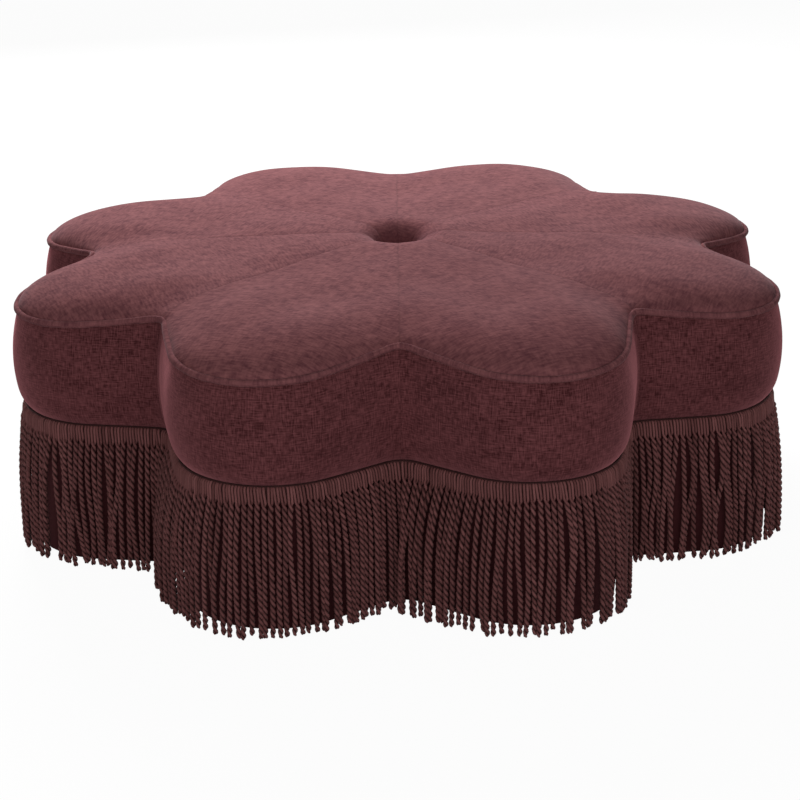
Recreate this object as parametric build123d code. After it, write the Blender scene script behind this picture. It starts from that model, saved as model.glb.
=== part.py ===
"""A low round ottoman shaped like a flower: crowned seat cushion, central button, piping and a deep fringe.

Millimetres, +Z up, origin on the floor under the centre button. A notch between two petals faces -Y.
Every outline is a ring of equal petals: one arc for each petal's end and one for each notch between petals.
"""
import os
from math import atan2, cos, pi, sin

from build123d import *

# The flower, on the seam between the top and the sides
PETALS = 8
TIP_RADIUS = 556.0
NOTCH_DEPTH = 117.0
NOTCH_RADIUS = 67.0

# Heights of the upholstery
SEAM_HEIGHT = 342.0
CROWN_RISE = 48.0
CROWN_FLAT_RADIUS = 110.0
TUFT_DEPTH = 53.0
TUFT_MOUTH = 75.0
PAD_BASE_BELOW_SEAM = 26.0

# The side panels between seam and deck
SIDE_BULGE = 9.0
SIDE_DRAW_IN = 8.0
SEAM_DRAW_IN = 1.6

# Covers
COVER_THICKNESS = 2.0
SOFT_CLEARANCE = 0.3

# Piping
PIPING_DIAMETER = 9.0
PIPING_WALL = 1.4
PIPING_CORD_CLEARANCE = 0.1
PIPING_SEAM_CLEARANCE = 0.2

# Button, twine and toggle
BUTTON_DIAMETER = 38.0
BUTTON_HEIGHT = 12.0
BUTTON_SHELL = 1.2
BUTTON_MOULD_HEIGHT = 5.0
TWINE_DIAMETER = 2.4
TWINE_CLEARANCE = 1.5
TOGGLE_DIAMETER = 36.0
TOGGLE_THICKNESS = 8.0
KNOT_DIAMETER = 8.0

# Timber frame
DECK_TOP = 202.0
DECK_THICKNESS = 18.0
BASE_THICKNESS = 15.0
BASE_OPENING_DIAMETER = 440.0
POST_WIDTH = 45.0
POST_FROM_PETAL_CENTRE = 30.0
RIB_THICKNESS = 18.0
RIB_LAP_CLEARANCE = 0.3
TOGGLE_BAY_WIDTH = 90.0
TOGGLE_BAY_HEIGHT = 30.0
FRAME_CLEARANCE = 0.2

# Plinth
PLINTH_SETBACK = 14.0
PLINTH_WALL_THICKNESS = 5.0

# Fringe
FRINGE_HEADING_HEIGHT = 26.0
FRINGE_HEADING_THICKNESS = 3.0
FRINGE_HEADING_ABOVE_DECK = 2.0
FRINGE_CORDS_PER_PETAL = 50
FRINGE_CORD_WIDTH = 6.4
FRINGE_FLARE = 12.0
FRINGE_FLOOR_GAP = 6.0
FRINGE_ROOT = 4.0

# Glides and nails
GLIDE_DIAMETER = 34.0
GLIDE_HEIGHT = 8.0
GLIDE_CHAMFER = 1.5
GLIDE_RECESS_DIAMETER = 12.0
GLIDE_RECESS_DEPTH = 3.0
NAIL_HEAD_DIAMETER = 9.0
NAIL_HEAD_THICKNESS = 1.5
NAIL_DIAMETER = 3.0
NAIL_GRIP = 11.0

# Screws
SCREW_DIAMETER = 4.5
SCREW_LENGTH = 50.0
SCREW_HEAD_DIAMETER = 9.0
SCREW_HEAD_HEIGHT = 3.0
FASTENER_CLEARANCE = 0.1

# Dust cover and its staples
DUST_COVER_THICKNESS = 0.8
STAPLES_PER_PETAL = 3
STAPLE_WIDTH = 11.0
STAPLE_WIRE = 1.0
STAPLE_LEG = 9.0
STAPLE_EDGE_DISTANCE = 16.0
STAPLE_FAN = 46.0

# Heights that follow from the sizes above
DECK_BOTTOM = DECK_TOP - DECK_THICKNESS
DUST_TOP = GLIDE_HEIGHT + DUST_COVER_THICKNESS
BASE_TOP = DUST_TOP + BASE_THICKNESS
CROWN_TOP = SEAM_HEIGHT + CROWN_RISE
TUFT_BOTTOM = CROWN_TOP - TUFT_DEPTH
PAD_BASE = SEAM_HEIGHT - PAD_BASE_BELOW_SEAM
HEADING_TOP = DECK_TOP + FRINGE_HEADING_ABOVE_DECK
HEADING_BOTTOM = HEADING_TOP - FRINGE_HEADING_HEIGHT
PIPING_RADIUS = PIPING_DIAMETER / 2
COVER_TOP_EDGE = SEAM_HEIGHT + PIPING_RADIUS + PIPING_SEAM_CLEARANCE
SIDE_TOP_EDGE = SEAM_HEIGHT - PIPING_RADIUS - PIPING_SEAM_CLEARANCE

# Distances outwards (+) or inwards (-) from the seam's outline
PIPING_OFFSET = -PIPING_RADIUS / 3
SEAM_OFFSET = -SEAM_DRAW_IN
SIDE_FOOT_OFFSET = -SIDE_DRAW_IN
DECK_OFFSET = SIDE_FOOT_OFFSET - COVER_THICKNESS - SOFT_CLEARANCE
HEADING_INNER_OFFSET = SIDE_FOOT_OFFSET + SOFT_CLEARANCE
HEADING_OUTER_OFFSET = HEADING_INNER_OFFSET + FRINGE_HEADING_THICKNESS
PLINTH_COVER_OFFSET = -PLINTH_SETBACK
PLINTH_WALL_OFFSET = PLINTH_COVER_OFFSET - COVER_THICKNESS - SOFT_CLEARANCE
BASE_OFFSET = PLINTH_WALL_OFFSET - PLINTH_WALL_THICKNESS - FRAME_CLEARANCE

# Radii on the axis
TWINE_RADIUS = TWINE_DIAMETER / 2
TWINE_HOLE_RADIUS = TWINE_RADIUS + TWINE_CLEARANCE
BUTTON_RADIUS = BUTTON_DIAMETER / 2

# Outlines that the crown and the tuft are drawn through, evenly spaced on a quarter of an ellipse
CROWN_STEPS = 9
TUFT_STEPS = 6
# How deep the notches still are in the crown's and the tuft's outlines, as a share of a scaled flower's
CROWN_NOTCH_SHARE = 1.0
TUFT_NOTCH_SHARE = 0.35
# The tuft's seat takes the button between its notches
TUFT_SEAT = (BUTTON_RADIUS + SOFT_CLEARANCE) / (1 - TUFT_NOTCH_SHARE * NOTCH_DEPTH / TIP_RADIUS)
# The side's profile: share of the height from heading to seam, share of the way from drawn in to bulged
SIDE_PROFILE = ((0.0, 0.0), (0.09, 0.36), (0.26, 0.8), (0.48, 1.0), (0.7, 0.94), (0.88, 0.7))

# Shapes that stand on their place
STANDING = (Align.CENTER, Align.CENTER, Align.MIN)

HALF_PITCH = pi / PETALS
PITCH_DEGREES = 360 / PETALS
FIRST_PETAL_DEGREES = -90 + PITCH_DEGREES / 2


class Outline:
    """A flower outline: petal arcs and notch arcs that meet tangentially, about the first petal's axis (+X)."""

    def __init__(self, tip, notch, notch_radius):
        self.notch_centre = notch + notch_radius
        self.notch_radius = notch_radius
        reach = tip**2 + self.notch_centre**2 - 2 * tip * self.notch_centre * cos(HALF_PITCH)
        spread = tip + notch_radius - self.notch_centre * cos(HALF_PITCH)
        self.petal_radius = (reach - notch_radius**2) / (2 * spread)
        self.petal_centre = tip - self.petal_radius
        self.petal_angle = atan2(
            self.notch_centre * sin(HALF_PITCH), self.notch_centre * cos(HALF_PITCH) - self.petal_centre
        )
        self.notch_angle = self.petal_angle - HALF_PITCH

    def half_length(self):
        """Length from a petal's tip to the middle of the notch."""
        return self.petal_radius * self.petal_angle + self.notch_radius * self.notch_angle

    def at(self, along, offset):
        """Point at a length along from the tip, moved outwards by offset, and the outward normal's angle."""
        side = 1 if along >= 0 else -1
        past_petal = abs(along) - self.petal_radius * self.petal_angle
        if past_petal <= 0:
            turn = abs(along) / self.petal_radius
            x = self.petal_centre + (self.petal_radius + offset) * cos(turn)
            y = (self.petal_radius + offset) * sin(turn)
        else:
            turn = self.petal_angle - past_petal / self.notch_radius
            x = self.notch_centre * cos(HALF_PITCH) - (self.notch_radius - offset) * cos(turn)
            y = self.notch_centre * sin(HALF_PITCH) - (self.notch_radius - offset) * sin(turn)
        return (x, side * y), side * turn

    def wire(self, offset, height):
        """The closed outline at a height, as one arc for each petal and one for each notch."""
        join = self.petal_radius * self.petal_angle
        tip = self.at(0, offset)[0]
        right = self.at(-join, offset)[0]
        left = self.at(join, offset)[0]
        notch = self.at(self.half_length(), offset)[0]
        arcs = []
        for petal in range(PETALS):
            turn = FIRST_PETAL_DEGREES + petal * PITCH_DEGREES
            ends = [turned(point, turn, height) for point in (right, tip, left, notch)]
            ends.append(turned(right, turn + PITCH_DEGREES, height))
            arcs.append(Edge.make_three_point_arc(ends[0], ends[1], ends[2]))
            arcs.append(Edge.make_three_point_arc(ends[2], ends[3], ends[4]))
        return Wire(arcs)

    def face(self, offset, height):
        return Face(self.wire(offset, height))


def turned(point, angle_degrees, height):
    """A point of the first petal, turned about the axis and lifted."""
    angle = angle_degrees * pi / 180
    x = point[0] * cos(angle) - point[1] * sin(angle)
    y = point[0] * sin(angle) + point[1] * cos(angle)
    return Vector(x, y, height)


SEAM = Outline(TIP_RADIUS, TIP_RADIUS - NOTCH_DEPTH, NOTCH_RADIUS)
PETAL_CENTRE = SEAM.petal_centre


def slab(offset, bottom, top):
    """A flat flower-shaped board between two heights."""
    return extrude(SEAM.face(offset, bottom), amount=top - bottom, dir=(0, 0, 1))


def band(outer_offset, inner_offset, bottom, top):
    """A wall that follows the flower between two heights."""
    return slab(outer_offset, bottom, top) - slab(inner_offset, bottom, top)


def side_form(skin):
    """The body inside the side panels, moved inwards by skin: straight beside the deck, bulged above it."""
    foot = slab(SIDE_FOOT_OFFSET - skin, DECK_BOTTOM, HEADING_TOP)
    sections = []
    for up, out in SIDE_PROFILE:
        level = HEADING_TOP + up * (SIDE_TOP_EDGE - HEADING_TOP)
        sections.append(SEAM.face(SIDE_FOOT_OFFSET + out * (SIDE_DRAW_IN + SIDE_BULGE) - skin, level))
    sections.append(SEAM.face(SEAM_OFFSET - skin, SIDE_TOP_EDGE))
    return foot + loft(sections, ruled=True)


def crown_form(skin):
    """The dome above the seam, moved inwards by skin, with a flat middle for the tuft."""
    slope = TIP_RADIUS + SEAM_OFFSET - skin - CROWN_FLAT_RADIUS
    rise = CROWN_TOP - COVER_TOP_EDGE - skin
    sections = []
    for step in range(CROWN_STEPS + 1):
        turn = step / CROWN_STEPS * pi / 2
        level = COVER_TOP_EDGE + rise * sin(turn)
        sections.append(scaled_face(CROWN_FLAT_RADIUS + slope * cos(turn), CROWN_NOTCH_SHARE, level))
    return loft(sections, ruled=True)


def tuft_form(skin):
    """The funnel that the button pulls into the crown, moved outwards by skin."""
    sections = []
    for step in range(TUFT_STEPS + 1):
        turn = step / TUFT_STEPS * pi / 2
        radius = TUFT_MOUTH - (TUFT_MOUTH - TUFT_SEAT) * sin(turn) + skin
        level = CROWN_TOP - (TUFT_DEPTH + skin) * (1 - cos(turn))
        sections.append(scaled_face(radius, TUFT_NOTCH_SHARE, level))
    return loft(sections, ruled=True)


def scaled_face(tip, notch_share, level):
    """A flower of another size about the same axis, with its notches made shallower by a share."""
    depth = tip * NOTCH_DEPTH / TIP_RADIUS * notch_share
    return Outline(tip, tip - depth, tip * NOTCH_RADIUS / TIP_RADIUS).face(0, level)


def rod(radius, bottom, top, x=0.0, y=0.0):
    """An upright cylinder between two heights."""
    return Pos(x, y, bottom) * Cylinder(radius, top - bottom, align=STANDING)


def wedge(bottom, top):
    """The first petal's sector, from notch to notch."""
    reach = 2 * TIP_RADIUS
    first = turned((reach, 0), -PITCH_DEGREES / 2, bottom)
    last = turned((reach, 0), PITCH_DEGREES / 2, bottom)
    sector = Face(Wire.make_polygon([Vector(0, 0, bottom), first, last]))
    return Rot(0, 0, FIRST_PETAL_DEGREES) * extrude(sector, amount=top - bottom, dir=(0, 0, 1))


def petal_turn(petal):
    return Rot(0, 0, petal * PITCH_DEGREES)


def on_petal_axis(radius):
    """The place at a radius on the first petal's axis."""
    return turned((radius, 0), FIRST_PETAL_DEGREES, 0)


def repeated(shape):
    """The same shape in every petal, as separate solids."""
    return Compound(children=[petal_turn(petal) * shape for petal in range(PETALS)])


def make_top_panel():
    """A wedge of the top cover, from the button's seat to the seam."""
    sector = wedge(DECK_TOP, CROWN_TOP)
    dome = (crown_form(0.0) & sector) - crown_form(COVER_THICKNESS)
    funnel = tuft_form(COVER_THICKNESS) & sector
    cover = dome + funnel - tuft_form(0.0)
    return cover - rod(TWINE_HOLE_RADIUS, DECK_TOP, CROWN_TOP)


def make_side_panel():
    cover = side_form(0.0) - side_form(COVER_THICKNESS)
    return cover & wedge(DECK_BOTTOM - DECK_THICKNESS, CROWN_TOP)


def make_piping():
    """The covered cord on the seam: a tube of fabric round a filler cord."""
    path = SEAM.wire(PIPING_OFFSET, SEAM_HEIGHT)
    bore = PIPING_RADIUS - PIPING_WALL
    place = Plane(origin=path @ 0, z_dir=path % 0)
    outer = sweep(place * Circle(PIPING_RADIUS), path=path)
    inner = sweep(place * Circle(bore), path=path)
    filler = sweep(place * Circle(bore - PIPING_CORD_CLEARANCE), path=path)
    return outer - inner, filler


def make_button():
    """A domed shell on a mould, with room for the twine."""
    seat = TUFT_BOTTOM + SOFT_CLEARANCE
    shoulder = seat + BUTTON_MOULD_HEIGHT

    def dome(skin):
        side = BUTTON_RADIUS - skin
        rise = BUTTON_HEIGHT - BUTTON_MOULD_HEIGHT - skin
        sphere = (side**2 + rise**2) / (2 * rise)
        half_turn = atan2(side, sphere - rise) / 2
        middle = (sphere * sin(half_turn), 0, shoulder + rise - sphere * (1 - cos(half_turn)))
        profile = [
            Edge.make_line((0, 0, seat), (side, 0, seat)),
            Edge.make_line((side, 0, seat), (side, 0, shoulder)),
            Edge.make_three_point_arc((side, 0, shoulder), middle, (0, 0, shoulder + rise)),
            Edge.make_line((0, 0, shoulder + rise), (0, 0, seat)),
        ]
        return revolve(Face(Wire(profile)), axis=Axis.Z)

    cap = dome(0.0) - dome(BUTTON_SHELL)
    mould = rod(BUTTON_RADIUS - BUTTON_SHELL - FASTENER_CLEARANCE, seat, shoulder)
    return cap, mould - rod(TWINE_RADIUS + FASTENER_CLEARANCE, seat, shoulder)


def make_twine():
    """The twine from the button's mould down through foam and deck to a knot under the toggle."""
    toggle_bottom = DECK_BOTTOM - TOGGLE_THICKNESS
    top = TUFT_BOTTOM + SOFT_CLEARANCE + BUTTON_MOULD_HEIGHT
    knot = Pos(0, 0, toggle_bottom - KNOT_DIAMETER / 2) * Sphere(KNOT_DIAMETER / 2)
    twine = rod(TWINE_RADIUS, toggle_bottom - KNOT_DIAMETER / 2, top) + knot
    toggle = rod(TOGGLE_DIAMETER / 2, toggle_bottom, DECK_BOTTOM)
    return twine, toggle - rod(TWINE_RADIUS + FASTENER_CLEARANCE, toggle_bottom, DECK_BOTTOM)


def make_crown_pad():
    """The soft pad under the top cover: crowned, tufted, and flat where it lies on the foam block."""
    skin = COVER_THICKNESS + SOFT_CLEARANCE
    block = side_form(skin) & slab(SIDE_BULGE, PAD_BASE, SIDE_TOP_EDGE)
    neck = slab(SEAM_OFFSET - skin - PIPING_DIAMETER, SIDE_TOP_EDGE, COVER_TOP_EDGE)
    pad = block + neck + crown_form(skin) - tuft_form(skin)
    return pad - rod(TWINE_HOLE_RADIUS, PAD_BASE, CROWN_TOP)


def make_seat_foam():
    skin = COVER_THICKNESS + SOFT_CLEARANCE
    block = side_form(skin) & slab(SIDE_BULGE, DECK_TOP, PAD_BASE)
    return block - rod(TWINE_HOLE_RADIUS, DECK_TOP, PAD_BASE)


def make_screw():
    """A countersunk wood screw with its head's top at z = 0, pointing down."""
    head = Pos(0, 0, -SCREW_HEAD_HEIGHT) * Cone(
        SCREW_DIAMETER / 2, SCREW_HEAD_DIAMETER / 2, SCREW_HEAD_HEIGHT, align=STANDING
    )
    return head + rod(SCREW_DIAMETER / 2, -SCREW_LENGTH, -SCREW_HEAD_HEIGHT)


def make_screw_hole():
    """The room that a screw takes, open at its head."""
    head = Pos(0, 0, -SCREW_HEAD_HEIGHT - FASTENER_CLEARANCE) * Cone(
        SCREW_DIAMETER / 2 + FASTENER_CLEARANCE,
        SCREW_HEAD_DIAMETER / 2 + FASTENER_CLEARANCE,
        SCREW_HEAD_HEIGHT + FASTENER_CLEARANCE,
        align=STANDING,
    )
    return head + rod(SCREW_DIAMETER / 2 + FASTENER_CLEARANCE, -SCREW_LENGTH, -SCREW_HEAD_HEIGHT)


POST_PLACE = on_petal_axis(PETAL_CENTRE + POST_FROM_PETAL_CENTRE)
DECK_SCREW_PLACE = Pos(POST_PLACE.X, POST_PLACE.Y, DECK_TOP)
BASE_SCREW_PLACE = Pos(POST_PLACE.X, POST_PLACE.Y, DUST_TOP) * Rot(180, 0, 0)
GLIDE_PLACE = on_petal_axis(PETAL_CENTRE - POST_WIDTH)


def make_post():
    height = DECK_BOTTOM - BASE_TOP
    block = Box(POST_WIDTH, POST_WIDTH, height, align=STANDING)
    post = Pos(POST_PLACE.X, POST_PLACE.Y, BASE_TOP) * Rot(0, 0, FIRST_PETAL_DEGREES) * block
    return post - DECK_SCREW_PLACE * make_screw_hole() - BASE_SCREW_PLACE * make_screw_hole()


def make_deck():
    deck = slab(DECK_OFFSET, DECK_BOTTOM, DECK_TOP) - rod(TWINE_HOLE_RADIUS, DECK_BOTTOM, DECK_TOP)
    return deck - repeated(DECK_SCREW_PLACE * make_screw_hole())


def make_base_ring():
    ring = slab(BASE_OFFSET, DUST_TOP, BASE_TOP) - rod(BASE_OPENING_DIAMETER / 2, DUST_TOP, BASE_TOP)
    ring = ring - repeated(BASE_SCREW_PLACE * make_screw_hole())
    ring = ring - repeated(rod(NAIL_DIAMETER / 2, DUST_TOP, DUST_TOP + NAIL_GRIP, GLIDE_PLACE.X, GLIDE_PLACE.Y))
    return ring - make_staples(FASTENER_CLEARANCE)


def make_rib(lap_from_top):
    """One of two boards on edge that cross in the middle, with a bay for the toggle under the deck."""
    height = DECK_BOTTOM - BASE_TOP
    half = TIP_RADIUS - NOTCH_DEPTH + PLINTH_WALL_OFFSET - PLINTH_WALL_THICKNESS - FRAME_CLEARANCE
    rib = Pos(0, 0, BASE_TOP) * Box(2 * half, RIB_THICKNESS, height, align=STANDING)
    bay_floor = DECK_BOTTOM - TOGGLE_BAY_HEIGHT
    rib = rib - Pos(0, 0, bay_floor) * Box(
        TOGGLE_BAY_WIDTH, RIB_THICKNESS, TOGGLE_BAY_HEIGHT, align=STANDING
    )
    lap = (BASE_TOP + bay_floor) / 2
    slot_width = RIB_THICKNESS + 2 * RIB_LAP_CLEARANCE
    low, high = (lap, bay_floor) if lap_from_top else (BASE_TOP, lap)
    slot = Pos(0, 0, low) * Box(slot_width, RIB_THICKNESS, high - low, align=STANDING)
    return rib - slot


def make_plinth_cover_panel():
    cover = band(PLINTH_COVER_OFFSET, PLINTH_COVER_OFFSET - COVER_THICKNESS, GLIDE_HEIGHT, DECK_BOTTOM)
    return cover & wedge(0, DECK_TOP)


def make_fringe_length():
    """One petal's length of fringe: its slice of heading and its cords, which hang and flare outwards."""
    heading = band(HEADING_OUTER_OFFSET, HEADING_INNER_OFFSET, HEADING_BOTTOM, HEADING_TOP)
    heading = heading & wedge(0, CROWN_TOP)
    middle = (HEADING_OUTER_OFFSET + HEADING_INNER_OFFSET) / 2
    root = min(HEADING_BOTTOM + FRINGE_ROOT, DECK_BOTTOM - SOFT_CLEARANCE)
    drop = root - FRINGE_FLOOR_GAP
    pitch = 2 * SEAM.half_length() / FRINGE_CORDS_PER_PETAL
    cords = []
    for index in range(FRINGE_CORDS_PER_PETAL):
        along = (index + 0.5) * pitch - SEAM.half_length()
        place, normal = SEAM.at(along, middle)
        foot = SEAM.at(along, middle + FRINGE_FLARE)[0]
        lean = Vector(foot[0] - place[0], foot[1] - place[1], -drop)
        outward = (cos(normal), sin(normal), 0)
        section = Plane(origin=(place[0], place[1], root), x_dir=outward, z_dir=(0, 0, -1))
        square = section * Rectangle(FRINGE_CORD_WIDTH, FRINGE_CORD_WIDTH)
        cords.append(extrude(square, amount=lean.length, dir=lean))
    cords = [Rot(0, 0, FIRST_PETAL_DEGREES) * cord for cord in cords]
    return heading.fuse(*cords)


def make_glide():
    """A nail-on glide with a recess for the nail's head."""
    disc = rod(GLIDE_DIAMETER / 2, 0, GLIDE_HEIGHT)
    disc = chamfer(disc.edges().group_by(Axis.Z)[0], GLIDE_CHAMFER)
    disc = disc - rod(GLIDE_RECESS_DIAMETER / 2, 0, GLIDE_RECESS_DEPTH)
    disc = disc - rod(NAIL_DIAMETER / 2, 0, GLIDE_HEIGHT)
    return Pos(GLIDE_PLACE.X, GLIDE_PLACE.Y, 0) * disc


def make_nail():
    head_bottom = GLIDE_RECESS_DEPTH - NAIL_HEAD_THICKNESS
    head = rod(NAIL_HEAD_DIAMETER / 2, head_bottom, GLIDE_RECESS_DEPTH, GLIDE_PLACE.X, GLIDE_PLACE.Y)
    return head + rod(NAIL_DIAMETER / 2, GLIDE_RECESS_DEPTH, DUST_TOP + NAIL_GRIP, GLIDE_PLACE.X, GLIDE_PLACE.Y)


def make_staples(clearance):
    """Staples along the rim of the dust cover, or the room they take when clearance is above zero."""
    width = STAPLE_WIDTH + 2 * clearance
    wire = STAPLE_WIRE + 2 * clearance
    leg = Box(wire, wire, STAPLE_LEG, align=STANDING)
    crown = Box(wire, width, STAPLE_WIRE, align=(Align.CENTER, Align.CENTER, Align.MAX))
    reach = (width - wire) / 2
    staple = crown + Pos(0, reach, 0) * leg + Pos(0, -reach, 0) * leg
    staples = []
    for index in range(STAPLES_PER_PETAL):
        turn = (index - (STAPLES_PER_PETAL - 1) / 2) * STAPLE_FAN
        inset = SEAM.petal_radius + BASE_OFFSET - STAPLE_EDGE_DISTANCE
        x = PETAL_CENTRE + inset * cos(turn * pi / 180)
        y = inset * sin(turn * pi / 180)
        staples.append(Rot(0, 0, FIRST_PETAL_DEGREES) * Pos(x, y, GLIDE_HEIGHT) * Rot(0, 0, turn) * staple)
    return Compound(children=[petal_turn(petal) * staple for petal in range(PETALS) for staple in staples])


def make_dust_cover():
    sheet = slab(BASE_OFFSET, GLIDE_HEIGHT, DUST_TOP)
    sheet = sheet - repeated(rod(NAIL_DIAMETER / 2, GLIDE_HEIGHT, DUST_TOP, GLIDE_PLACE.X, GLIDE_PLACE.Y))
    return sheet - make_staples(FASTENER_CLEARANCE)


def make_parts():
    parts = {}
    top_panel = make_top_panel()
    side_panel = make_side_panel()
    fringe = make_fringe_length()
    post = make_post()
    for petal in range(PETALS):
        number = petal + 1
        parts[f"top_panel_{number}"] = petal_turn(petal) * top_panel
        parts[f"side_panel_{number}"] = petal_turn(petal) * side_panel
        parts[f"fringe_{number}"] = petal_turn(petal) * fringe
        parts[f"frame_post_{number}"] = petal_turn(petal) * post
    parts["piping_cover"], parts["piping_cord"] = make_piping()
    parts["button_cap"], parts["button_mould"] = make_button()
    parts["tufting_twine"], parts["twine_toggle"] = make_twine()
    parts["crown_pad"] = make_crown_pad()
    parts["seat_foam"] = make_seat_foam()
    parts["seat_deck"] = make_deck()
    parts["cross_rib_1"] = make_rib(True)
    parts["cross_rib_2"] = Rot(0, 0, 90) * make_rib(False)
    parts["base_ring"] = make_base_ring()
    parts["plinth_wall"] = band(
        PLINTH_WALL_OFFSET, PLINTH_WALL_OFFSET - PLINTH_WALL_THICKNESS, DUST_TOP, DECK_BOTTOM
    )
    parts["plinth_cover"] = repeated(make_plinth_cover_panel())
    parts["deck_screws"] = repeated(DECK_SCREW_PLACE * make_screw())
    parts["base_screws"] = repeated(BASE_SCREW_PLACE * make_screw())
    parts["dust_cover"] = make_dust_cover()
    parts["dust_cover_staples"] = make_staples(0.0)
    parts["floor_glides"] = repeated(make_glide())
    parts["glide_nails"] = repeated(make_nail())
    return parts


if __name__ == "__main__":
    os.makedirs("parts", exist_ok=True)
    for name, shape in make_parts().items():
        export_step(shape, f"parts/{name}.step")
    print("fringe outline", round(2 * PETALS * SEAM.half_length(), 1), "mm")
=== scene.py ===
"""The looks of a low flower-shaped ottoman: chenille cover, piping, centre button and a twisted cord fringe.

Metres, +Z up, origin on the floor under the button. A notch between two petals faces -Y.
"""

import bpy
import numpy as np
from mathutils import Matrix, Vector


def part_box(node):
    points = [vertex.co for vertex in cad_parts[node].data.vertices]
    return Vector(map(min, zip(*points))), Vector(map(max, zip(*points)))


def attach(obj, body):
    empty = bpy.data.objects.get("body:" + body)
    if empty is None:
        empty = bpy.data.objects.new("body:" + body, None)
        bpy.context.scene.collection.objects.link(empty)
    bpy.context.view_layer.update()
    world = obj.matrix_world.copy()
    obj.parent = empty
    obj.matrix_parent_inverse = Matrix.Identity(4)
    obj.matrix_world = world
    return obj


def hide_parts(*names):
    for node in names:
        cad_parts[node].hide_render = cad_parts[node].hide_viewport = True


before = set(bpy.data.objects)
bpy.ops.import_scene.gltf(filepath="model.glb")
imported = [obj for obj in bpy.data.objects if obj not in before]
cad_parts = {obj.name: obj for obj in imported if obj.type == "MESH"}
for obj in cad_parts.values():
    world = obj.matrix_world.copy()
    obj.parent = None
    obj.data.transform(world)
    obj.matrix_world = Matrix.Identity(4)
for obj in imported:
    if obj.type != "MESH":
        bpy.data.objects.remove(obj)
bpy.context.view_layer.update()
chance = np.random.default_rng(8)

# The flower, on the seam between the top and the sides
PETALS = 8
PITCH = 2 * np.pi / PETALS
FIRST_PETAL = -np.pi / 2 + PITCH / 2
TIP = 0.556
PETAL_ROUND = 0.127
PETAL_TURN = np.radians(59.5)
NOTCH_ROUND = 0.028

# Half a petal is an arc from the tip, a straight flank and half of the small arc in the notch
PETAL_CENTRE = TIP - PETAL_ROUND
PETAL_ARC = PETAL_ROUND * PETAL_TURN
NOTCH_TURN = PETAL_TURN - PITCH / 2
NOTCH_CENTRE = (PETAL_CENTRE * np.cos(PETAL_TURN) + PETAL_ROUND + NOTCH_ROUND) / np.cos(NOTCH_TURN)
NOTCH_X = NOTCH_CENTRE * np.cos(PITCH / 2)
NOTCH_Y = NOTCH_CENTRE * np.sin(PITCH / 2)
FLANK = PETAL_CENTRE * np.sin(PETAL_TURN) - NOTCH_CENTRE * np.sin(NOTCH_TURN)
HALF_OUTLINE = PETAL_ARC + FLANK + NOTCH_ROUND * NOTCH_TURN

# Direction in degrees, spread in degrees and size of the places where the cover is fuller or flatter
BULGES = ((-132.0, 7.0, 0.009), (-22.0, 13.0, -0.005))

# Heights
CROWN_TOP = 0.3815
CROWN_DOME = 0.007
SEAM_AT_TIP = 0.3386
SEAM_RISE = 0.0196
SIDE_FOOT = 0.1990
PAD_BASE = 0.316
DECK_TOP = 0.202
BUTTON_SEAT = 0.3373
HEADING_TOP = 0.2016
HEADING_BOTTOM = 0.1815
PLINTH_TOP = 0.184
PLINTH_BOTTOM = 0.004
DUST_LEVEL = 0.0084

# The cover: its thickness, and how far above and below the piping's middle the top and the sides end
COVER = 0.002
SEAM_LAP = 0.002
SEAM_OFFSET = -0.0030
SEAM_POWER = 1.9

# The top
CROWN_FLAT = 0.678
CROWN_FLAT_AT_NOTCH = 0.58
VALLEY = 5.0
DOME_REACH = 0.62
TUFT_MOUTH = 0.075
TUFT_SEAT = 0.0195
TUFT_DEPTH = 0.049
TUFT_POWER = 2.7
TOP_CREASE = 0.0004
TOP_CREASE_WIDTH = 0.003
TOP_SEAM_LINE = 0.0013
# Height, radians per metre along x and y, and starting angle of each wave of the stuffing
LUMPS = ((0.0006, 31, 17, 0.6), (0.0005, -23, 38, 2.1), (0.0003, 64, -29, 4.0))
# Share of the way in from the edge over which those waves grow
LUMP_FADE = 0.1
# How much painted shade darkens the cover in the hollow beside the button, and how far out
TUFT_SHADE = 0.50
TUFT_SHADE_REACH = 0.026

# The sides
SIDE_LEAN = -0.007
SIDE_SWELL = 0.016
SIDE_TUCK = 0.0085
TUCK_SHARE = 0.16
SIDE_CREASE = 0.0008
SIDE_CREASE_WIDTH = 0.004
SIDE_CREASE_FADE = 0.3
SIDE_SEAM_LINE = 0.0018
# The swell's curve: the share of it below the foot, its shares of slope and sine, and the sine's two powers
SWELL_START = 0.053
SWELL_SLOPE = 0.22
SWELL_SINE = 0.9
SWELL_LEVEL = 0.944
SWELL_POWER = 0.75

# Piping
PIPING_COLUMNS = 120
PIPING_SIDES = 16
PIPING_RADIUS = 0.0044
PIPING_OFFSET = -0.0010
PIPING_RIDGE = 0.025
PIPING_UNEVEN = 0.05
FILLER_SIDES = 10
FILLER_RADIUS = 0.0028

# Fringe
CORDS = 57
CORD_TURN = 0.0175
CORD_RINGS = 97
PLY_SIDES = 7
PLY_RADIUS = 0.0023
PLY_CENTRE = 0.0016
HEADING_YARN_RADIUS = 0.0018
HEADING_OFFSET = -0.0015
HEADING_ROLL = 0.0065
# Share of the heading below its rounded edge, and how far its foot stands out from its top
HEADING_STRAIGHT = 0.7
HEADING_STEP = 0.0015
# Share of the drop above a cord's rounded end, and the length in which its twist begins
CORD_BODY = 0.975
TWIST_START = 0.01
# Share of the drop from which the plies close up, and by how much
CLOSE_FROM = 0.97
CLOSE_SHARE = 0.2
# Waves along the fringe, as length and size, in which cords lean aside and stand out together
LEAN_WAVES = ((0.13, 0.0022), (0.055, 0.0016))
DEPTH_WAVES = ((0.16, 0.002),)
# Share of the cords that stray, and how far they lean and stand out
STRAY_SHARE = 0.15
STRAY_LEAN = 0.005
STRAY_DEPTH = 0.003
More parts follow.
